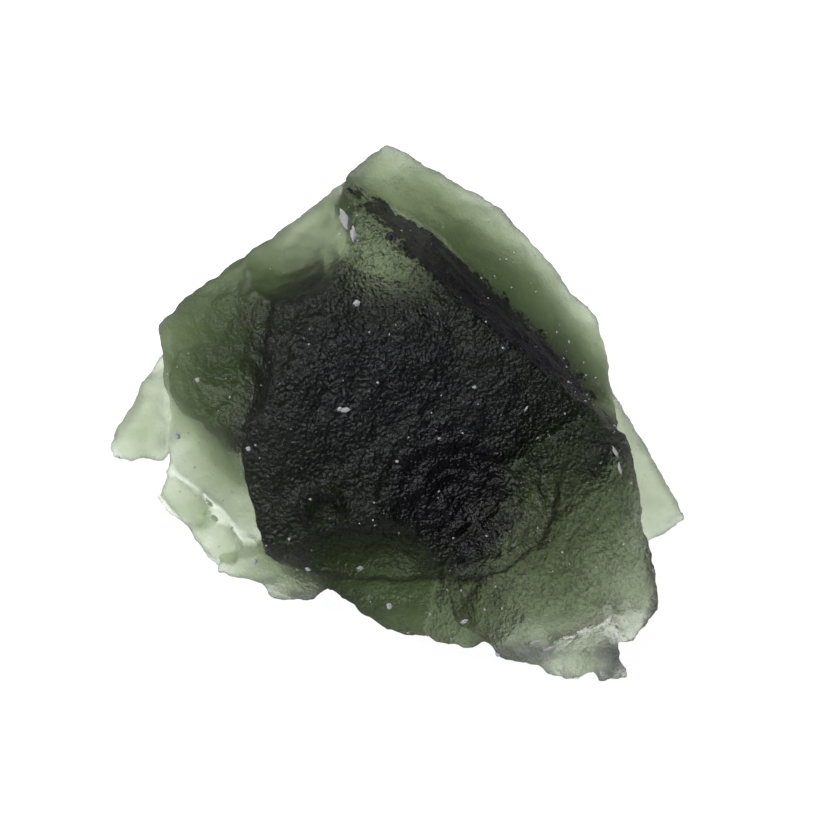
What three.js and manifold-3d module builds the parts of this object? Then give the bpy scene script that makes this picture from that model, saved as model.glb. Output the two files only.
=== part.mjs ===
// A raw moldavite: one shard of dark green natural glass, about 30 mm across. It has a thick dark core
// with a broad face, a steep bevel down the face's right side, thin wings, a skirt and a fin round its
// rim, and curved breaks. It lies on a flat break on its underside.
import * as THREE from "three";
import { ConvexGeometry } from "three/addons/geometries/ConvexGeometry.js";
import { ImprovedNoise } from "three/addons/math/ImprovedNoise.js";
import { TessellateModifier } from "three/addons/modifiers/TessellateModifier.js";
import { mergeVertices } from "three/addons/utils/BufferGeometryUtils.js";
import Module from "manifold-3d";

const wasm = await Module();
wasm.setup();

// Driving dimensions, in millimetres and degrees.
const STONE_WIDTH = 30; // from the tip of the left wing to the tip of the right one
const DRAWN_WIDTH = 30; // the same in the drawing that the corners below are read from
const LEAN = 25; // how far the face lies back, from square to the eye to how the stone rests
const BASE_DEPTH = 6.8; // from the drawing's origin down to the break that the stone lies on
const FACET_LENGTH = 2.15; // the longest side of a facet of the etched skin
const RIM = 0.2; // how thick the thin plates are at their very edge
const DRIFT = { size: 3.4, amount: 0.3 }; // the slow wander of every edge
const RELIEF = { size: 1.9, amount: 0.16 }; // the etched skin's lumps

// The shard is drawn as its face is seen: a corner is [right, up, near] from the middle of the drawing.

// A geometry as a closed solid.
function solid(geometry) {
  const bare = geometry.clone();
  bare.deleteAttribute("normal");
  bare.deleteAttribute("uv");
  const merged = mergeVertices(bare, 1e-4);
  return new wasm.Manifold(
    new wasm.Mesh({
      numProp: 3,
      vertProperties: merged.attributes.position.array,
      triVerts: new Uint32Array(merged.index.array),
    }),
  );
}

// A solid back as a geometry.
function geometryOf(made) {
  const { vertProperties, triVerts } = made.getMesh();
  const geometry = new THREE.BufferGeometry();
  geometry.setAttribute("position", new THREE.BufferAttribute(new Float32Array(vertProperties), 3));
  geometry.setIndex(new THREE.BufferAttribute(new Uint32Array(triVerts), 1));
  return geometry;
}

function join(...pieces) {
  return pieces.reduce((sum, piece) => sum.add(piece));
}

function take(from, ...bites) {
  return bites.reduce((rest, bite) => rest.subtract(bite), from);
}

// A block with flat faces between its corners.
function block(...corners) {
  return solid(new ConvexGeometry(corners.map((corner) => new THREE.Vector3(...corner))));
}

// A thin plate: the corners of its front, each with how thick the plate is behind it. Its rim is a thin
// edge, and it reaches that thickness a little way in from there.
function plate(...corners) {
  const mean = (axis) => corners.reduce((sum, corner) => sum + corner[axis], 0) / corners.length;
  const middle = [mean(0), mean(1)];
  const front = corners.map(([right, up, near]) => [right, up, near]);
  const edge = corners.map(([right, up, near]) => [right, up, near - RIM]);
  const behind = corners.map(([right, up, near, thickness]) => {
    const share = Math.min(0.5, (1.5 * thickness) / Math.hypot(right - middle[0], up - middle[1]));
    return [
      THREE.MathUtils.lerp(right, middle[0], share),
      THREE.MathUtils.lerp(up, middle[1], share),
      near - thickness,
    ];
  });
  return block(...front, ...edge, ...behind);
}

// What a curved, shell-like break takes away: an egg, turned about the line of sight.
function egg(centre, radii, turn = 0, fineness = 5) {
  const shape = new THREE.IcosahedronGeometry(1, fineness);
  shape.scale(...radii);
  shape.rotateZ(THREE.MathUtils.degToRad(turn));
  shape.translate(...centre);
  return solid(shape);
}

// The thick core: the face, the bevel down its right side, and the sides down to the base.
function core() {
  const ridge = [
    [-3.5, 11.2, 0.7], [-0.7, 8.9, 1.7], [2.4, 5.8, 2.5], [5.2, 3.1, 2.9], [8.0, 0.6, 3.0],
    [9.5, -0.4, 2.7],
  ];
  const bevelFoot = [
    [-2.9, 12.0, -1.0], [1.4, 9.0, -0.9], [5.2, 5.3, -0.4], [7.5, 2.6, 0.0], [9.5, 0.0, 0.6],
  ];
  const face = [
    [-7.1, 5.8, 1.5], [-7.0, 1.0, 2.4], [-8.8, -1.9, 1.9], [-8.7, -3.4, 2.1], [-7.7, -6.4, 2.4],
  ];
  const brow = [
    [-5.5, -6.8, 2.7], [-7.3, -7.2, 1.2], [-5.8, -7.9, 1.4], [-2.4, -8.1, 1.9], [2.1, -8.2, 2.2],
  ];
  const corner = [[10.5, -2.2, 2.1], [10.6, -1.0, 1.2]];
  const back = [[-4.4, 9.4, -2.4], [1.6, 7.6, -2.8], [7.6, 1.4, -4.6], [-6.2, 4.0, -6.8]];
  const base = [
    [-6.8, -4.9, -5.5], [-4.6, -8.3, -3.9], [2.2, -7.4, -5.0], [6.6, -5.2, -5.4], [5.0, -0.3, -7.7],
    [-1.0, 2.2, -8.9], [-5.4, -0.5, -7.6],
  ];
  return block(...ridge, ...bevelFoot, ...face, ...brow, ...corner, ...back, ...base);
}

// What the scoop at the top left, the bowl low in the face, the hollow behind the tail and the arched
// break took away.
const scoop = () => egg([-6.8, 9.5, 4.0], [4.4, 4.6, 5.9], 0, 6);
const bowl = () => egg([2.9, -3.7, 6.6], [4.5, 4.8, 4.3], -24, 6);
const undercut = () => egg([8.8, -7.4, -8.5], [8.0, 8.2, 9.3], 0, 6);
const arch = () => egg([-2.0, -8.2, 4.4], [4.4, 3.2, 3.4], 0, 5);

// The lower right of the face, a raised lip round the bowl that falls away to the fin.
function tail() {
  const lip = [
    [2.1, -8.3, 3.2], [1.9, -6.4, 3.8], [2.6, -4.4, 4.2], [4.6, -2.4, 4.3], [5.8, -5.9, 4.5],
    [6.8, -1.3, 3.6], [8.6, -0.5, 3.1],
  ];
  const side = [
    [10.3, -2.2, 3.1], [10.2, -4.4, 3.2], [10.2, -6.0, 3.1], [10.8, -1.0, 2.0], [11.2, -3.8, 2.4],
    [11.35, -6.0, 2.3],
  ];
  const toe = [
    [1.5, -8.6, 2.7], [2.1, -10.4, 2.5], [3.8, -11.6, 2.1], [4.5, -12.2, 1.9], [7.0, -11.5, 2.0],
    [9.2, -10.4, 2.4],
  ];
  const rim = [[11.5, -7.0, 1.6], [12.1, -8.2, 1.4], [12.2, -9.8, 1.2]];
  const under = [
    [3.4, -9.8, 1.4], [4.4, -11.7, 0.9], [6.8, -11.3, 1.0], [9.2, -10.2, 1.1], [11.8, -9.6, 0.9],
    [11.7, -8.0, 0.5],
  ];
  const inner = [[4.0, -7.2, 0.6], [6.4, -3.8, 0.2], [10.9, -3.2, 1.6], [11.0, -6.6, 1.5]];
  return block(...lip, ...side, ...toe, ...rim, ...under, ...inner);
}

// The thin wedge behind the bevel, whose rim is the stone's outline from the peak down the right.
function backWedge() {
  const foot = [
    [-3.4, 11.7, -0.9], [-2.7, 12.1, -1.3], [1.4, 8.9, -1.4], [5.2, 5.2, -1.0], [7.4, 2.6, -0.6],
    [9.4, 0.0, 0.0], [10.5, -1.2, 0.6],
  ];
  const rim = [
    [-3.3, 12.1, -1.0], [-2.4, 12.9, -1.4], [-1.4, 13.8, -1.9], [0.4, 12.7, -2.9], [1.7, 12.0, -3.2],
    [4.6, 10.6, -3.6], [6.2, 8.7, -3.8], [7.7, 6.9, -4.0], [9.3, 5.3, -4.1], [9.9, 3.7, -3.9],
    [9.9, 1.8, -3.4], [10.3, 0.6, -2.8],
  ];
  const behind = rim.map(([right, up, near]) => [right - 0.15, up - 0.15, near - 0.5]);
  const within = [[-3.2, 10.8, -3.6], [0.6, 8.8, -5.0], [3.2, 5.8, -5.2], [8.0, 0.4, -4.8]];
  return block(...foot, ...rim, ...behind, ...within);
}

// The left shoulder: a blunt block with a smooth face that falls away from the broad face to the left.
function shoulder() {
  const crest = [
    [-3.2, 12.0, -0.8], [-5.8, 9.8, -1.2], [-8.1, 8.3, -1.4], [-10.8, 6.6, -1.4], [-12.0, 5.8, -1.5],
  ];
  const left = [
    [-13.2, 4.5, -2.0], [-13.1, 3.4, -1.9], [-12.6, 2.0, -1.6], [-12.1, 0.7, -1.3], [-10.2, -0.8, -0.6],
    [-8.9, -2.1, 0.4],
  ];
  const inner = [[-6.6, 5.8, 1.0], [-6.6, 1.0, 1.7], [-8.2, -1.6, 1.2], [-3.4, 10.8, 0.2]];
  const back = [
    [-4.0, 11.2, -2.4], [-8.0, 8.0, -3.6], [-11.6, 5.6, -4.0], [-12.9, 4.3, -4.3], [-12.5, 2.0, -4.5],
    [-11.4, 0.4, -4.0], [-9.6, -1.2, -3.5], [-6.0, 3.0, -5.4], [-5.7, 6.4, -4.9],
  ];
  return block(...crest, ...left, ...inner, ...back);
}

// The lower facet of the shoulder's side, which thins out into the wing and the foot.
function ledge() {
  return plate(
    [-13.0, 3.2, -2.1, 2.0], [-12.1, 0.6, -1.6, 2.4], [-10.1, -0.8, -0.9, 2.8], [-8.6, -2.2, 0.0, 3.2],
    [-12.7, 2.4, -3.2, 1.0], [-12.6, 0.0, -3.3, 1.0], [-12.3, -1.4, -3.3, 0.8],
    [-10.8, -2.2, -2.9, 0.9], [-9.2, -3.2, -2.3, 1.3], [-7.6, -4.4, -1.6, 1.8],
  );
}

// The thin wing that points left.
function leftWing() {
  return plate(
    [-12.8, 3.4, -3.4, 1.4], [-13.9, 1.9, -4.1, 1.1], [-15.2, -0.4, -4.6, 0.9],
    [-16.0, -1.5, -4.9, 0.7], [-15.8, -2.1, -5.0, 0.7], [-15.0, -2.4, -5.0, 0.7],
    [-12.9, -2.6, -4.6, 0.6], [-12.2, -1.6, -4.0, 0.6], [-11.8, 1.6, -3.6, 1.2],
  );
}

// The pale plate under the shoulder, and the three rolled lobes that stand out below its edge.
function foot() {
  const sheet = plate(
    [-12.6, -0.6, -3.5, 0.7], [-12.5, -2.6, -3.9, 0.5], [-11.6, -3.7, -3.7, 0.5],
    [-10.2, -4.8, -3.2, 0.5], [-8.9, -6.2, -2.5, 0.7], [-7.2, -7.6, -1.7, 1.0], [-6.6, -5.0, -1.6, 1.8],
    [-8.0, -1.0, -2.4, 1.8],
  );
  const rolls = [
    egg([-11.8, -4.7, -4.25], [2.3, 1.0, 0.3], -42, 4),
    egg([-10.1, -6.7, -3.35], [1.9, 1.1, 0.3], -35, 4),
    egg([-8.6, -7.0, -2.3], [0.8, 0.65, 0.35], 0, 3),
  ];
  const web = plate(
    [-12.6, -2.8, -4.2, 0.4], [-13.3, -4.0, -4.2, 0.4], [-12.3, -5.5, -3.9, 0.4],
    [-11.2, -7.0, -3.2, 0.4], [-10.2, -7.8, -2.9, 0.4], [-8.2, -7.8, -2.2, 0.5],
    [-7.4, -7.0, -1.9, 0.7], [-9.0, -5.6, -2.8, 0.5],
  );
  return join(sheet, web, ...rolls);
}

// The skirt: the ragged blunt edge below the face, in three overlapping panels.
function skirt() {
  const left = block(
    [-10.3, -7.6, -2.4], [-10.1, -8.2, -2.4], [-7.7, -8.5, -1.2], [-7.3, -9.0, -1.0],
    [-6.7, -9.7, -0.9], [-5.5, -9.8, -0.6], [-4.2, -9.1, 0.0], [-5.0, -7.4, 0.8], [-8.0, -6.6, -0.8],
    [-9.8, -7.6, -3.0], [-7.8, -8.2, -1.9], [-6.4, -9.5, -1.2], [-5.4, -9.5, -1.0], [-4.4, -8.6, -1.5],
    [-6.0, -6.0, -3.0],
  );
  const middle = block(
    [-5.2, -7.4, 0.9], [-4.3, -9.0, 0.8], [-3.0, -9.6, 0.8], [-2.4, -10.3, 0.6], [-1.4, -11.0, 0.3],
    [0.9, -11.3, 0.2], [1.6, -9.8, 0.9], [2.0, -8.1, 1.0], [-3.8, -9.2, -3.3], [-1.6, -10.4, -3.0],
    [0.9, -11.0, -2.4], [2.0, -8.0, -3.2], [-4.0, -6.0, -4.2],
  );
  const right = block(
    [0.7, -11.2, 0.7], [1.3, -11.7, 0.8], [2.7, -12.1, 1.0], [3.3, -11.8, 1.4], [3.4, -10.8, 2.2],
    [3.2, -9.0, 2.7], [1.2, -8.6, 1.9], [2.6, -7.2, 2.4], [0.8, -11.0, -1.6], [2.7, -11.9, -0.8],
    [5.0, -10.6, 0.7], [0.9, -8.4, -2.0], [5.6, -8.2, 0.8],
  );
  return join(left, middle, right);
}

// The fin that hangs from the tail, thin and ragged.
function fin() {
  const upper = plate(
    [3.8, -11.2, 2.1, 1.4], [4.4, -12.4, 1.8, 1.2], [6.2, -12.7, 1.7, 1.1], [7.4, -12.6, 1.7, 0.8],
    [7.6, -11.0, 2.1, 1.1],
  );
  const lower = plate(
    [5.8, -12.2, 1.8, 1.0], [6.9, -13.0, 1.5, 0.8], [7.3, -13.4, 1.3, 0.7], [8.5, -13.7, 1.1, 0.7],
    [9.6, -13.5, 1.1, 0.8], [11.0, -13.3, 1.1, 1.1], [10.9, -12.6, 1.3, 1.3], [10.5, -11.8, 1.4, 1.0],
    [9.6, -10.8, 1.5, 0.5], [7.6, -11.6, 1.9, 0.5],
  );
  const side = plate(
    [11.3, -6.8, 1.8, 1.3], [12.1, -7.7, 1.4, 1.0], [12.3, -8.3, 1.2, 0.9], [12.4, -10.0, 0.9, 0.7],
    [11.8, -10.6, 0.9, 0.4], [11.2, -11.6, 0.9, 0.4], [10.3, -11.7, 1.1, 0.4], [9.6, -10.4, 1.5, 0.4],
    [10.0, -8.0, 1.9, 1.6],
  );
  return join(upper, lower, side);
}

// The thin wing that points right.
function rightWing() {
  return plate(
    [9.4, 2.0, -2.6, 1.0], [10.2, 0.9, -2.7, 0.7], [10.7, 0.5, -2.8, 0.6], [11.3, -0.9, -2.9, 0.5],
    [12.4, -2.7, -3.0, 0.5], [13.5, -4.7, -3.0, 0.5], [14.1, -5.4, -3.0, 0.8], [12.4, -6.3, -2.9, 0.5],
    [11.3, -7.0, -2.7, 0.4], [8.6, -5.0, -2.5, 0.5], [8.2, -1.0, -1.9, 1.2],
  );
}

// Smaller breaks and pits, all round the shard.
function chips() {
  const round = [
    egg([-11.2, 1.9, 3.0], [4.2, 4.0, 3.4], 0, 5), // the fold between the shoulder and the face
    egg([11.3, -8.8, 4.9], [2.7, 2.9, 2.9], 0, 5), // the chip in the tail's right side
    egg([-3.9, -10.9, -1.0], [1.5, 1.7, 3.4], 0, 3), // the notches along the skirt
    egg([-9.2, -9.6, -2.4], [2.2, 1.2, 3.0], -5, 3),
    egg([3.5, -12.6, 0.4], [0.7, 1.0, 2.0], 0, 3),
    egg([5.3, -13.7, 1.2], [1.6, 1.0, 3.0], -12, 3), // the notches along the fin
    egg([9.0, -14.1, 1.0], [0.7, 0.9, 2.4], 0, 3),
    egg([11.4, -12.3, 1.0], [0.8, 0.6, 2.0], 20, 3),
    egg([-14.2, -3.4, -5.0], [1.5, 1.1, 3.0], 0, 3), // between the left wing and the rolls
    egg([-12.9, -6.4, -3.8], [1.0, 0.8, 2.0], -40, 3),
    egg([12.0, -0.4, -3.6], [0.8, 1.5, 3.0], 30, 3), // along the right wing
    egg([13.9, -3.2, -3.6], [0.8, 1.6, 2.0], 28, 3),
    egg([3.6, 13.2, -3.6], [1.6, 2.0, 2.4], -30, 3), // along the top right rim
    egg([8.6, 8.4, -4.2], [1.4, 2.4, 2.4], 36, 3),
  ];
  const behind = [
    egg([-1.3, 7.5, -4.9], [3.7, 2.6, 4.2], -44, 5),
    egg([2.6, 9.6, -11.4], [6.4, 4.4, 6.4], -20, 4),
    egg([-9.8, -5.0, -8.0], [3.2, 3.2, 3.6], 0, 4),
  ];
  return [...round, ...behind];
}

const noise = new ImprovedNoise();

// Smooth noise of a given grain at a point, from about -1 to 1.
function grain(point, size, seed) {
  return noise.noise(point.x / size + seed, point.y / size - seed, point.z / size + 2 * seed);
}

// Lets every edge wander, and gives the skin its lumps. The flat break that the stone lies on stays flat.
function etch(geometry) {
  const positions = geometry.attributes.position;
  const normals = geometry.attributes.normal;
  const point = new THREE.Vector3();
  const normal = new THREE.Vector3();
  const drift = new THREE.Vector3();
  for (let i = 0; i < positions.count; i++) {
    point.fromBufferAttribute(positions, i);
    normal.fromBufferAttribute(normals, i);
    const free = THREE.MathUtils.smoothstep(point.z, 0, 1.2);
    drift.set(grain(point, DRIFT.size, 3.1), grain(point, DRIFT.size, 7.7), grain(point, DRIFT.size, 12.9));
    const lump = RELIEF.amount * grain(point, RELIEF.size, 5.3);
    point.addScaledVector(drift, DRIFT.amount * free).addScaledVector(normal, lump * free);
    positions.setXYZ(i, point.x, point.y, point.z);
  }
}

function shard() {
  const whole = join(
    take(core(), scoop(), bowl(), arch(), undercut()),
    take(shoulder(), scoop()),
    take(tail(), bowl(), undercut()),
    backWedge(),
    ledge(),
    leftWing(),
    foot(),
    skirt(),
    fin(),
    rightWing(),
  );
  const drawn = geometryOf(take(whole, ...chips()));
  drawn.scale(...Array(3).fill(STONE_WIDTH / DRAWN_WIDTH));
  drawn.rotateX(THREE.MathUtils.degToRad(LEAN));
  drawn.translate(0, 0, BASE_DEPTH);
  const under = new THREE.BoxGeometry(60, 60, 20);
  under.translate(0, 0, -10);
  const rested = geometryOf(take(solid(drawn), solid(under)));
  const fine = new TessellateModifier(FACET_LENGTH, 12).modify(rested.toNonIndexed());
  fine.deleteAttribute("normal");
  const skin = mergeVertices(fine, 1e-3);
  skin.computeVertexNormals();
  etch(skin);
  skin.computeBoundingBox();
  const middle = skin.boundingBox.getCenter(new THREE.Vector3());
  skin.translate(-middle.x, -middle.y, 0);
  skin.computeVertexNormals();
  return skin;
}

const glass = new THREE.MeshStandardMaterial({ color: 0x3a4a2c, roughness: 0.35, metalness: 0 });
const moldavite = new THREE.Mesh(shard(), glass);
moldavite.name = "moldavite";

const root = new THREE.Group();
root.add(moldavite);

export default root;
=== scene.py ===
import math

import bpy
from mathutils import Matrix, Quaternion, Vector


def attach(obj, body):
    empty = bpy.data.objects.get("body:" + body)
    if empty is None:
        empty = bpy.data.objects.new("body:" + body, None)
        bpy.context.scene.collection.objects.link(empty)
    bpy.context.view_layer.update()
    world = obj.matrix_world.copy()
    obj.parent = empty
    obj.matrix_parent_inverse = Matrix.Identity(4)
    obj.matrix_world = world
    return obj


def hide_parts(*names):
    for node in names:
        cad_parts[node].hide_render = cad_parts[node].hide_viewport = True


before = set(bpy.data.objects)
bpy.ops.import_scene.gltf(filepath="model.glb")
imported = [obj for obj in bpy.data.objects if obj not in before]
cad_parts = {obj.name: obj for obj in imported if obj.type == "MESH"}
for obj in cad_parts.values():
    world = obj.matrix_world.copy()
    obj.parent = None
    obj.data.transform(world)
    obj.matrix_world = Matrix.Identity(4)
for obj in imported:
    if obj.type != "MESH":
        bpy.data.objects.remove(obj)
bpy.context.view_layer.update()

# The stone: one shard of natural glass, splashed out molten, broken, and then etched for ages in sour soil.
# The model's solid gives its facets, scoops and thin wings. Here it gets the fine mesh that its skin is cut
# into.
MM = 0.001
SKIN_STEP = 0.155 * MM  # distance between the fine mesh's points

bpy.ops.object.select_all(action="DESELECT")
stone = bpy.data.objects.new("stone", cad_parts["moldavite"].data.copy())
bpy.context.scene.collection.objects.link(stone)
stone.select_set(True)
bpy.context.view_layer.objects.active = stone
bpy.ops.object.mode_set(mode="EDIT")
bpy.ops.mesh.select_all(action="SELECT")
bpy.ops.mesh.remove_doubles(threshold=0.001 * MM)
bpy.ops.object.mode_set(mode="OBJECT")
fine_mesh = stone.modifiers.new("fine mesh", "REMESH")
fine_mesh.mode = "VOXEL"
fine_mesh.voxel_size = SKIN_STEP
fine_mesh.use_smooth_shade = True
bpy.ops.object.modifier_apply(modifier=fine_mesh.name)
stair_steps = stone.modifiers.new("stair steps", "SMOOTH")
stair_steps.iterations = 2
bpy.ops.object.modifier_apply(modifier=stair_steps.name)

# The stone's etched skin: ripples across the broad face, streaks down the tail, rings in the bowl, fine
# ridges along the bevel and pits all over. Places on it are [right, up, towards the eye] as the face is
# seen, in millimetres from the face's middle.
LEAN = math.radians(25)  # the face lies this far back from square to the eye
FACE_MIDDLE = Vector((0.876, -0.346, 6.8)) * MM


# Adds a node with its settings and links, and gives back one of its outputs.
def node(tree, kind, inputs=(), output=0, **settings):
    made = tree.nodes.new(kind)
    for name, value in settings.items():
        setattr(made, name, value)
    for socket, value in dict(inputs).items():
        if isinstance(value, bpy.types.NodeSocket):
            tree.links.new(value, made.inputs[socket])
        else:
            made.inputs[socket].default_value = value
    return made.outputs[output] if made.outputs else made


skin = bpy.data.node_groups.new("etched skin", "GeometryNodeTree")
skin.interface.new_socket("Geometry", in_out="INPUT", socket_type="NodeSocketGeometry")
skin.interface.new_socket("Geometry", in_out="OUTPUT", socket_type="NodeSocketGeometry")
smooth_stone = node(skin, "NodeGroupInput")
place = node(skin, "GeometryNodeInputPosition")
outward = node(skin, "GeometryNodeInputNormal")
from_middle = node(skin, "ShaderNodeVectorMath", {0: place, 1: FACE_MIDDLE}, operation="SUBTRACT")
seen_place, seen_outward = [
    node(skin, "ShaderNodeVectorRotate", {"Vector": vector, "Angle": -LEAN}, rotation_type="X_AXIS")
    for vector in (from_middle, outward)
]
in_mm = node(skin, "ShaderNodeVectorMath", {0: seen_place, "Scale": 1 / MM}, operation="SCALE")


# How far out of an egg-shaped region a point is: 0 at its middle and 1 at its rim.
def way_out(middle, reach, turn):
    off = node(skin, "ShaderNodeVectorMath", {0: in_mm, 1: middle}, operation="SUBTRACT")
    back = -math.radians(turn)
    turned = node(skin, "ShaderNodeVectorRotate", {"Vector": off, "Angle": back}, rotation_type="Z_AXIS")
    share = node(skin, "ShaderNodeVectorMath", {0: turned, 1: reach}, operation="DIVIDE")
    return node(skin, "ShaderNodeVectorMath", {0: share}, "Value", operation="LENGTH")


# How far a point is inside an egg-shaped region, from 0 at its rim to 1 well inside it.
def within(middle, reach, turn=0.0, soft=0.35):
    limits = {"Value": way_out(middle, reach, turn), "From Min": 1.0, "From Max": 1.0 - soft}
    return node(skin, "ShaderNodeMapRange", limits, interpolation_type="SMOOTHSTEP")


# A ridge along an egg-shaped region's rim, 1 on its crest, at any depth.
def ridge(middle, reach, half_width, turn=0.0):
    away = way_out(middle, (*reach, 1e3), turn)
    past_rim = node(skin, "ShaderNodeMath", {0: away, 1: -1.0}, operation="ADD")
    from_rim = node(skin, "ShaderNodeMath", {0: past_rim}, operation="ABSOLUTE")
    limits = {"Value": from_rim, "From Min": half_width / min(reach), "From Max": 0.0}
    return node(skin, "ShaderNodeMapRange", limits, interpolation_type="SMOOTHSTEP")


# Smooth noise from -0.5 to 0.5 whose lumps have the given sizes, turned about the line of sight.
def lumps(sizes, seed, turn=0.0, detail=2.0, roughness=0.5):
    back = -math.radians(turn)
    turned = node(skin, "ShaderNodeVectorRotate", {"Vector": in_mm, "Angle": back}, rotation_type="Z_AXIS")
    scaled = node(skin, "ShaderNodeVectorMath", {0: turned, 1: sizes}, operation="DIVIDE")
    pattern = {"Vector": scaled, "W": seed, "Scale": 1.0, "Detail": detail, "Roughness": roughness}
    noise = node(skin, "ShaderNodeTexNoise", pattern, noise_dimensions="4D")
    return node(skin, "ShaderNodeMath", {0: noise, 1: -0.5}, operation="ADD")


# Round pits of about the given size: 0 between them and 1 at their bottoms.
def pits(size, seed, share):
    scaled = node(skin, "ShaderNodeVectorMath", {0: in_mm, "Scale": 1 / size}, operation="SCALE")
    pattern = {"Vector": scaled, "W": seed, "Scale": 1.0}
    away = node(skin, "ShaderNodeTexVoronoi", pattern, "Distance", voronoi_dimensions="4D")
    chance = node(skin, "ShaderNodeSeparateXYZ", {0: away.node.outputs["Color"]}, "X")
    hollow, chosen = [
        node(
            skin,
            "ShaderNodeMapRange",
            {"Value": value, "From Min": none_at, "From Max": all_at},
            interpolation_type="SMOOTHSTEP",
        )
        for value, none_at, all_at in ((away, 0.5, 0.1), (chance, share, share - 0.15))
    ]
    return node(skin, "ShaderNodeMath", {0: hollow, 1: chosen}, operation="MULTIPLY")


facing = node(skin, "ShaderNodeSeparateXYZ", {0: seen_outward}, "Z")
depth = node(skin, "ShaderNodeSeparateXYZ", {0: in_mm}, "Z")
level = node(skin, "ShaderNodeSeparateXYZ", {0: place}, "Z")
square_on, half_turned, off_table = [
    node(
        skin,
        "ShaderNodeMapRange",
        {"Value": value, "From Min": none_at, "From Max": all_at},
        interpolation_type="SMOOTHSTEP",
    )
    for value, none_at, all_at in ((facing, 0.75, 0.92), (facing, 0.3, 0.6), (level, 0.1 * MM, 0.8 * MM))
]
in_bowl = within((1.9, -3.4, 2.6), (5.2, 4.0, 3.0), -24)
on_bevel = within((3.0, 5.6, 1.2), (11.0, 1.9, 3.0), -44, 0.3)
on_fin = within((9.0, -12.4, 1.2), (5.0, 2.4, 2.4), 0, 0.4)
in_scoop = within((-6.7, 9.4, 0.0), (3.9, 4.0, 4.0), 0, 0.15)
unscooped = node(skin, "ShaderNodeMath", {0: 1.0, 1: in_scoop}, operation="SUBTRACT")
etched_deep = node(
    skin, "ShaderNodeMapRange", {"Value": depth, "From Min": -2.5, "From Max": 1.0, "To Min": 0.4}
)
on_face, on_tail, even = [
    node(skin, "ShaderNodeMath", {0: first, 1: second}, operation="MULTIPLY")
    for first, second in (
        (square_on, within((0.5, 0.5, 2.4), (10.5, 9.5, 3.2), -40, 0.2)),
        (half_turned, within((6.8, -8.0, 2.6), (6.4, 5.4, 3.6), -20, 0.25)),
        (unscooped, etched_deep),
    )
]
from_blow = node(skin, "ShaderNodeVectorMath", {0: in_mm, 1: (2.4, -4.6, 2.0)}, operation="SUBTRACT")
rings = node(
    skin,
    "ShaderNodeTexWave",
    {"Vector": from_blow, "Scale": 0.32, "Distortion": 8.0, "Detail": 2.0, "Detail Scale": 1.2},
    "Fac",
    wave_type="RINGS",
    rings_direction="Z",
)
hide = lumps((0.9, 0.9, 0.9), 1.0, detail=3.0, roughness=0.6)

# Each row is a form of the skin, its height in millimetres, and the places that it keeps to.
height = 0.0
for form, tall, *kept_to in (
    (hide, 0.12, on_face, even),
    (hide, 0.06, even),
    # Ripples on the face, streaks and knobs on the tail, fine ridges on the bevel and the fin.
    (lumps((0.8, 0.45, 0.45), 2.0, turn=-6, detail=3.0, roughness=0.7), 0.17, on_face),
    (lumps((2.4, 0.6, 0.6), 3.0, turn=48), 0.6, on_tail),
    (lumps((3.0, 0.36, 0.5), 4.0, turn=-44), 0.30, on_bevel),
    (lumps((0.42, 2.4, 1.0), 6.0, turn=-18), 0.3, on_fin),
    (lumps((0.6, 0.4, 0.4), 9.0, turn=48, detail=3.0, roughness=0.75), 0.5, on_tail),
    # Faint rings in the bowl, round a level halfway up them.
    (rings, 0.08, in_bowl),
    (in_bowl, -0.04),
    (pits(0.9, 7.0, 0.4), -0.10, even),
    (pits(1.6, 8.0, 0.3), -0.16, on_tail),
    # The raised shoulder, the slab's groove and the hollow lobes at the slab's edge.
    (within((-10.6, 1.6, -1.0), (2.3, 2.0, 2.0), 20, 0.12), 0.22),
    (within((-10.0, -4.95, -3.2), (3.3, 0.32, 1.6), -45, 0.9), -0.25),
    (ridge((-11.8, -4.6, 0.0), (2.1, 0.8), 0.3, -42), -0.2, within((-11.8, -4.7, -4.0), (3.4, 2.4, 2.0))),
    (ridge((-10.1, -6.6, 0.0), (1.8, 0.95), 0.3, -35), -0.2, within((-10.1, -6.7, -3.2), (3.4, 2.4, 2.0))),
    (ridge((-8.6, -7.0, 0.0), (0.6, 0.5), 0.25), -0.15, within((-8.6, -7.0, -2.4), (1.6, 1.6, 2.0))),
    # The curl beside the arch, its pit, the tail's lip, and the arch's foot and top edges.
    (within((-4.6, -4.8, 2.0), (1.5, 1.4, 1.6), 0, 0.25), 0.45),
    (within((-4.5, -5.1, 2.0), (1.1, 1.1, 1.8), 0, 0.4), -0.6),
    (ridge((2.9, -3.7, 0.0), (4.1, 4.35), 0.4), 0.4, within((6.0, -7.2, 3.6), (5.2, 4.4, 2.4))),
    (within((-2.6, -8.1, 1.0), (5.0, 0.3, 1.6), -4, 0.9), 0.45),
    (within((-2.5, -5.7, 2.0), (3.4, 0.3, 1.4), -8, 0.9), 0.3),
):
    for where in kept_to:
        form = node(skin, "ShaderNodeMath", {0: form, 1: where}, operation="MULTIPLY")
    height = node(skin, "ShaderNodeMath", {0: form, 1: tall, 2: height}, operation="MULTIPLY_ADD")

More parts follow.
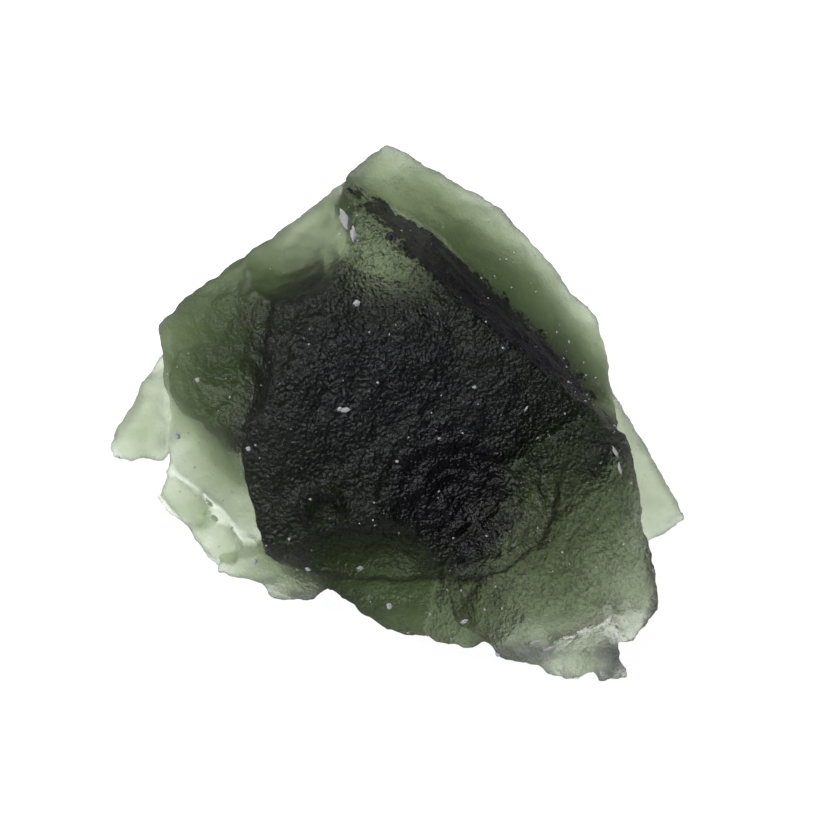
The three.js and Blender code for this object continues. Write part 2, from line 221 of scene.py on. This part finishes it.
# The whole skin also wanders a little, so that no edge is straight, and is left flat where it lies.
WANDER = 0.5
drift = node(skin, "ShaderNodeTexNoise", {"Vector": in_mm, "Scale": 0.9, "Detail": 2.0}, "Color")
centred = node(skin, "ShaderNodeVectorMath", {0: drift, 1: (0.5, 0.5, 0.5)}, operation="SUBTRACT")
wander = node(skin, "ShaderNodeVectorMath", {0: centred, "Scale": WANDER}, operation="SCALE")
raised = node(skin, "ShaderNodeVectorMath", {0: outward, "Scale": height}, operation="SCALE")
moved = node(skin, "ShaderNodeVectorMath", {0: raised, 1: wander}, operation="ADD")
free = node(skin, "ShaderNodeMath", {0: off_table, 1: MM}, operation="MULTIPLY")
shift = node(skin, "ShaderNodeVectorMath", {0: moved, "Scale": free}, operation="SCALE")
etched = node(skin, "GeometryNodeSetPosition", {"Geometry": smooth_stone, "Offset": shift})
node(skin, "NodeGroupOutput", {0: etched})
etching = stone.modifiers.new("etching", "NODES")
etching.node_group = skin
bpy.ops.object.modifier_apply(modifier=etching.name)
bpy.ops.object.shade_smooth()

# The stone's glass: moldavite, clear green, so dark that it is black where it is thick. The soil etched its
# skin to a satin, which glints dully, and the far parts are frosted, as they are out of focus to the eye.
# The real etch pits are a few hundredths of a millimetre across and don't show, so they are drawn coarser.
FINE_PITS_PER_MM = 7.0
LEATHER_PER_MM = 5.0
DULL_SPOTS_PER_MM = 5.2
RAGS_PER_MM = 1.3
PATCHES_PER_MM = 0.5
BEVEL_TURN = math.radians(43.1)  # the band runs this steeply down to the right


def srgb(hex_colour):
    parts = [int(hex_colour[i : i + 2], 16) / 255 for i in (1, 3, 5)]
    linear = [part / 12.92 if part <= 0.04045 else ((part + 0.055) / 1.055) ** 2.4 for part in parts]
    return (*linear, 1.0)


glass = bpy.data.materials.new("etched moldavite glass")
glass.use_nodes = True
look = glass.node_tree
look.nodes.clear()
on_object = node(look, "ShaderNodeTexCoord", (), "Object")
off_middle = node(look, "ShaderNodeVectorMath", {0: on_object, 1: FACE_MIDDLE}, operation="SUBTRACT")
seen = node(look, "ShaderNodeVectorRotate", {"Vector": off_middle, "Angle": -LEAN}, rotation_type="X_AXIS")
seen_up = node(look, "ShaderNodeSeparateXYZ", {0: seen}, "Y")
nearness = node(look, "ShaderNodeSeparateXYZ", {0: seen}, "Z")


# How far out of an egg-shaped place a point is: 0 at its middle, 1 at its rim and more outside.
def out_of_place(vector, middle, reach):
    off = node(look, "ShaderNodeVectorMath", {0: vector, 1: Vector(middle) * MM}, operation="SUBTRACT")
    part_way = node(look, "ShaderNodeVectorMath", {0: off, 1: Vector(reach) * MM}, operation="DIVIDE")
    return node(look, "ShaderNodeVectorMath", {0: part_way}, "Value", operation="LENGTH")


# The leather is full on near parts, faint on far ones and nearly gone in the glossy scoop.
by_depth = node(
    look,
    "ShaderNodeMapRange",
    {"Value": nearness, "From Min": -1.5 * MM, "From Max": 1.5 * MM, "To Min": 0.35},
)
from_scoop = out_of_place(seen, (-6.8, 9.5, 0.0), (3.9, 4.1, 5.0))
off_scoop = node(
    look, "ShaderNodeMapRange", {"Value": from_scoop, "From Min": 0.93, "From Max": 1.0, "To Min": 0.15}
)
coarse = node(look, "ShaderNodeMath", {0: by_depth, 1: off_scoop}, operation="MULTIPLY")
fine_grain = node(
    look,
    "ShaderNodeTexNoise",
    {"Vector": on_object, "Scale": FINE_PITS_PER_MM / MM, "Detail": 2.0, "Roughness": 0.6},
)
grit = node(look, "ShaderNodeBump", {"Height": fine_grain, "Strength": coarse, "Distance": 0.07 * MM})
leather = node(
    look,
    "ShaderNodeTexNoise",
    {"Vector": on_object, "Scale": LEATHER_PER_MM / MM, "Detail": 1.0, "Roughness": 0.5},
)
skin_bumps = node(
    look,
    "ShaderNodeBump",
    {"Height": leather, "Strength": coarse, "Distance": 0.17 * MM, "Normal": grit},
)

# The satin is uneven in patches a few millimetres wide, and rougher far back and down the fin.
patches = node(
    look, "ShaderNodeTexNoise", {"Vector": on_object, "Scale": PATCHES_PER_MM / MM, "Detail": 3.0}
)
satin = node(look, "ShaderNodeMapRange", {"Value": patches, "To Min": 0.28, "To Max": 0.42})
far_back = node(
    look,
    "ShaderNodeMapRange",
    {"Value": nearness, "From Min": 0.8 * MM, "From Max": -2.5 * MM, "To Max": 0.34},
)
off_fin = node(
    look, "ShaderNodeMapRange", {"Value": seen_up, "From Min": -12.0 * MM, "From Max": -9.5 * MM}
)
down_fin = node(look, "ShaderNodeMath", {0: off_fin, 1: -0.2, 2: 0.2}, operation="MULTIPLY_ADD")
frosted = node(look, "ShaderNodeMath", {0: far_back, 1: down_fin}, operation="MAXIMUM")
roughness = node(look, "ShaderNodeMath", {0: satin, 1: frosted}, operation="ADD")

# Dull grey spots in the deeply etched near skin.
deeply = node(look, "ShaderNodeMapRange", {"Value": nearness, "From Min": -1.0 * MM, "From Max": 3.0 * MM})
dull = node(
    look,
    "ShaderNodeTexNoise",
    {"Vector": on_object, "Scale": DULL_SPOTS_PER_MM / MM, "Detail": 3.0, "Roughness": 0.7},
)
dullness = node(look, "ShaderNodeMapRange", {"Value": dull, "From Min": 0.56, "From Max": 0.40})
for where in (deeply, off_fin):
    dullness = node(look, "ShaderNodeMath", {0: dullness, 1: where}, operation="MULTIPLY")
tint = node(
    look,
    "ShaderNodeMix",
    {"Factor": dullness, "A": srgb("#f8fff4"), "B": srgb("#9a9a9c")},
    "Result",
    data_type="RGBA",
)

# Painted shade with ragged edges: the bevel's band and the bowl are painted dark violet, standing in for the
# light that the real glass traps there. Also two grey patches on the fin.
along_bevel = node(
    look, "ShaderNodeVectorRotate", {"Vector": seen, "Angle": BEVEL_TURN}, rotation_type="Z_AXIS"
)
ragged = node(
    look,
    "ShaderNodeTexNoise",
    {"Vector": on_object, "Scale": RAGS_PER_MM / MM, "Detail": 4.0, "Roughness": 0.65},
)
for vector, middle, reach, unevenness, softness, colour in (
    (along_bevel, (-2.0, 6.62, 1.4), (9.6, 1.1, 3.4), 1.5, 0.12, "#241f2c"),
    (seen, (2.1, -4.2, 3.4), (4.5, 4.5, 2.8), 0.8, 0.35, "#292234"),
    (seen, (5.8, -12.0, 1.2), (2.4, 0.8, 2.0), 1.2, 0.7, "#aeabba"),
    (seen, (10.0, -12.4, 1.0), (1.3, 1.4, 2.0), 1.2, 0.7, "#b2afbe"),
):
    away = out_of_place(vector, middle, reach)
    edge = node(look, "ShaderNodeMath", {0: ragged, 1: unevenness, 2: away}, operation="MULTIPLY_ADD")
    rim = 1.0 + 0.5 * unevenness
    dark = node(look, "ShaderNodeMapRange", {"Value": edge, "From Min": rim, "From Max": rim - softness})
    mixed = {"Factor": dark, "A": tint, "B": srgb(colour)}
    tint = node(look, "ShaderNodeMix", mixed, "Result", data_type="RGBA")
surface = node(
    look,
    "ShaderNodeBsdfPrincipled",
    {
        "Base Color": tint,
        "Transmission Weight": 1.0,
        "IOR": 1.5,
        "Roughness": roughness,
        "Normal": skin_bumps,
    },
)
body = node(look, "ShaderNodeVolumeAbsorption", {"Color": srgb("#819746"), "Density": 860.0})
node(look, "ShaderNodeOutputMaterial", {"Surface": surface, "Volume": body})
stone.data.materials.clear()
stone.data.materials.append(glass)
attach(stone, "root")
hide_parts("moldavite")

# White chips, partly crumbs of crushed glass and grit caught in the pits of the etched skin, and partly
# painted
# glints: white specks put where the pits and worn edges catch the light. They lie all over it, thickest
# along the worn edges. The crumbs are white because they are cracked through and scatter the light.
CHIP_RADIUS = 0.05 * MM
CRUMBS_PER_MM = 9.0
ALL_OVER = 1e6  # chips to a square metre, which is one to a square millimetre
ON_EDGES = 4e6  # how many more where the skin is sharpest

powder_and_glints = bpy.data.materials.new("crushed glass and painted glints")
powder_and_glints.use_nodes = True
powder_and_glints_look = powder_and_glints.node_tree
powder_and_glints_look.nodes.clear()
on_chips = node(powder_and_glints_look, "ShaderNodeTexCoord", (), "Object")
mottle = node(powder_and_glints_look, "ShaderNodeTexNoise", {"Vector": on_chips, "Scale": CRUMBS_PER_MM / MM})
whiteness = node(
    powder_and_glints_look,
    "ShaderNodeMix",
    {"Factor": mottle, "A": srgb("#b9bdae"), "B": srgb("#ffffff")},
    "Result",
    data_type="RGBA",
)
crumbs_and_glints = node(powder_and_glints_look, "ShaderNodeBsdfPrincipled", {"Base Color": whiteness, "Roughness": 0.55})
node(powder_and_glints_look, "ShaderNodeOutputMaterial", {"Surface": crumbs_and_glints})

bpy.ops.mesh.primitive_ico_sphere_add(subdivisions=1, radius=CHIP_RADIUS)
one_chip = bpy.context.object
one_chip.data.materials.append(powder_and_glints)
chips = bpy.data.objects.new("white_chips", stone.data.copy())
bpy.context.scene.collection.objects.link(chips)
strew = bpy.data.node_groups.new("strewn chips", "GeometryNodeTree")
strew.interface.new_socket("Geometry", in_out="INPUT", socket_type="NodeSocketGeometry")
strew.interface.new_socket("Geometry", in_out="OUTPUT", socket_type="NodeSocketGeometry")
strewn_on = node(strew, "NodeGroupInput")
at = node(strew, "GeometryNodeInputPosition")
out_of = node(strew, "GeometryNodeInputNormal")
blunted = node(strew, "GeometryNodeBlurAttribute", {"Value": at, "Iterations": 9}, data_type="FLOAT_VECTOR")
stands_out = node(strew, "ShaderNodeVectorMath", {0: at, 1: blunted}, operation="SUBTRACT")
sharpness = node(
    strew, "ShaderNodeVectorMath", {0: stands_out, 1: out_of}, "Value", operation="DOT_PRODUCT"
)
worn = node(
    strew, "ShaderNodeMapRange", {"Value": sharpness, "From Min": 0.03 * MM, "From Max": 0.10 * MM}
)
per_area = node(strew, "ShaderNodeMath", {0: worn, 1: ON_EDGES, 2: ALL_OVER}, operation="MULTIPLY_ADD")
spots = node(
    strew,
    "GeometryNodeDistributePointsOnFaces",
    {"Mesh": strewn_on, "Density": per_area, "Seed": 7},
    "Points",
    distribute_method="RANDOM",
)
chance = node(strew, "FunctionNodeRandomValue", {2: 0.0, 3: 1.0, "Seed": 3}, 1, data_type="FLOAT")
rare = node(strew, "ShaderNodeMath", {0: chance, 1: 5.0}, operation="POWER")
chip_size = node(strew, "ShaderNodeMath", {0: rare, 1: 1.6, 2: 0.4}, operation="MULTIPLY_ADD")
stretch = node(
    strew,
    "FunctionNodeRandomValue",
    {0: (0.6, 0.6, 0.5), 1: (1.4, 1.2, 0.9), "Seed": 5},
    data_type="FLOAT_VECTOR",
)
chip_scale = node(strew, "ShaderNodeVectorMath", {0: stretch, "Scale": chip_size}, operation="SCALE")
spin = node(
    strew,
    "FunctionNodeRandomValue",
    {0: (0, 0, 0), 1: (6.3, 6.3, 6.3), "Seed": 9},
    data_type="FLOAT_VECTOR",
)
chip_mesh = node(strew, "GeometryNodeObjectInfo", {"Object": one_chip}, "Geometry")
placed = node(
    strew,
    "GeometryNodeInstanceOnPoints",
    {"Points": spots, "Instance": chip_mesh, "Rotation": spin, "Scale": chip_scale},
)
node(strew, "NodeGroupOutput", {0: node(strew, "GeometryNodeRealizeInstances", {"Geometry": placed})})
strewing = chips.modifiers.new("strewing", "NODES")
strewing.node_group = strew
bpy.ops.object.select_all(action="DESELECT")
chips.select_set(True)
bpy.context.view_layer.objects.active = chips
bpy.ops.object.modifier_apply(modifier=strewing.name)
bpy.data.objects.remove(one_chip)

# The largest ones: [right, up] on the face as seen, half length, half width and turn. The first two, long
# ones are a painted highlight along the scoop's right edge, where the light glints.
FLAKE_HALF_THICKNESS = 0.06
ABOVE_ALL = 12  # millimetres towards the eye, clear of the stone
LARGE_CHIPS = (
    (-3.35, 9.7, 0.7, 0.24, -58), (-3.0, 9.0, 0.45, 0.15, -80), (-2.85, 5.55, 0.2, 0.16, 40),
    (-3.45, 0.15, 0.3, 0.13, 10), (-3.7, 0.2, 0.13, 0.1, 60), (10.2, -2.0, 0.34, 0.09, -60),
    (10.4, -2.8, 0.3, 0.08, -75), (-1.2, -9.8, 0.16, 0.16, 0), (-8.3, -1.8, 0.14, 0.12, 0),
    (2.6, -10.5, 0.2, 0.1, 30), (-12.2, -1.2, 0.2, 0.16, 0), (-11.0, 1.7, 0.14, 0.12, 0),
    (6.0, -11.6, 0.5, 0.08, 12), (6.9, -11.9, 0.4, 0.07, 24), (4.3, -12.2, 0.14, 0.12, 0),
    (9.6, -13.2, 0.2, 0.1, -30), (-2.7, -7.9, 0.2, 0.13, 20), (-8.1, -7.6, 0.16, 0.12, 0),
    (-5.3, -7.9, 0.16, 0.1, 0), (5.7, 0.2, 0.2, 0.05, 60), (3.1, 1.3, 0.12, 0.08, 0),
    (10.6, -6.6, 0.1, 0.08, 0),
)
bpy.context.view_layer.update()
upright = Quaternion((1, 0, 0), LEAN)
parts = [chips]
for right, up, half_length, half_width, turn in LARGE_CHIPS:
    above = FACE_MIDDLE + upright @ (Vector((right, up, ABOVE_ALL)) * MM)
    hit, spot, normal, _ = stone.ray_cast(above, upright @ Vector((0, 0, -1)))
    if not hit:
        continue
    bpy.ops.mesh.primitive_ico_sphere_add(subdivisions=2, radius=1.0)
    flake = bpy.context.object
    for index, vertex in enumerate(flake.data.vertices):
        vertex.co *= 0.75 + 0.5 * ((index * 0.618) % 1)  # knapped unevenly
    lie = upright @ Quaternion((0, 0, 1), math.radians(turn))
    size = Vector((half_length, half_width, FLAKE_HALF_THICKNESS)) * MM
    flake.data.transform(Matrix.LocRotScale(spot, lie, size))
    flake.data.materials.append(powder_and_glints)
    parts.append(flake)
bpy.ops.object.select_all(action="DESELECT")
for part in parts:
    part.select_set(True)
bpy.context.view_layer.objects.active = chips
bpy.ops.object.join()
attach(chips, "root")

# The pale ground: a plain sheet of lit opal glass, a hair below the stone. It lights the stone from
# underneath, and it isn't seen in the stone's gloss.
TABLE_SIZE = 2.0
bpy.ops.mesh.primitive_plane_add(size=TABLE_SIZE, location=(0, 0, -0.05 * MM))
table = bpy.context.object
table.name = "pale_table"
opal = bpy.data.materials.new("lit opal glass")
opal.use_nodes = True
opal_look = opal.node_tree
opal_look.nodes.clear()
opal_glow = node(
    opal_look,
    "ShaderNodeBsdfPrincipled",
    {
        "Base Color": srgb("#c8c8c8"),
        "Roughness": 0.8,
        "Emission Color": srgb("#ffffff"),
        "Emission Strength": 0.95,
    },
)
node(opal_look, "ShaderNodeOutputMaterial", {"Surface": opal_glow})
table.data.materials.append(opal)
table.visible_glossy = False

# The air round the stone: a dim, even room, a little violet, so that the thick glass stays dark. Its walls
# are paler low down.
room = bpy.data.worlds.new("dim room")
bpy.context.scene.world = room
room.use_nodes = True
room_look = room.node_tree
room_look.nodes.clear()
sky_way = node(room_look, "ShaderNodeTexCoord", (), "Generated")
rise = node(room_look, "ShaderNodeSeparateXYZ", {0: sky_way}, "Z")
share = node(room_look, "ShaderNodeMapRange", {"Value": rise, "From Min": 0.0, "From Max": 0.25})
walls = node(
    room_look,
    "ShaderNodeMix",
    {"Factor": share, "A": srgb("#838088"), "B": srgb("#453e58")},
    "Result",
    data_type="RGBA",
)
room_light = node(room_look, "ShaderNodeBackground", {"Color": walls, "Strength": 1.0})
node(room_look, "ShaderNodeOutputWorld", {"Surface": room_light})

# One soft light, high up on the left behind the stone.
lamp = bpy.data.lights.new("soft light", "AREA")
lamp.energy = 0.8
lamp.size = 0.3
lamp_holder = bpy.data.objects.new("soft light", lamp)
bpy.context.scene.collection.objects.link(lamp_holder)
lamp_holder.location = (-0.15, 0.1, 0.3)
lamp_holder.rotation_euler = (-lamp_holder.location).to_track_quat("-Z", "Y").to_euler()

# The camera looks steeply down on the stone, square to its broad face.
CAMERA_AWAY = 234 * MM
camera_data = bpy.data.cameras.new("camera")
camera_data.lens = 200
camera_data.sensor_width = 36
camera_data.clip_start = 1 * MM
camera = bpy.data.objects.new("camera", camera_data)
bpy.context.scene.collection.objects.link(camera)
line_of_sight = Vector((0, -math.sin(LEAN), math.cos(LEAN)))
camera.location = FACE_MIDDLE + line_of_sight * CAMERA_AWAY
camera.rotation_euler = (-line_of_sight).to_track_quat("-Z", "Y").to_euler()
bpy.context.scene.camera = camera

# Light passes through many walls of glass before it is given up.
scene = bpy.context.scene
scene.view_settings.view_transform = "Standard"
scene.cycles.use_denoising = True
scene.cycles.max_bounces = 24
scene.cycles.transmission_bounces = 24
scene.cycles.transparent_max_bounces = 8
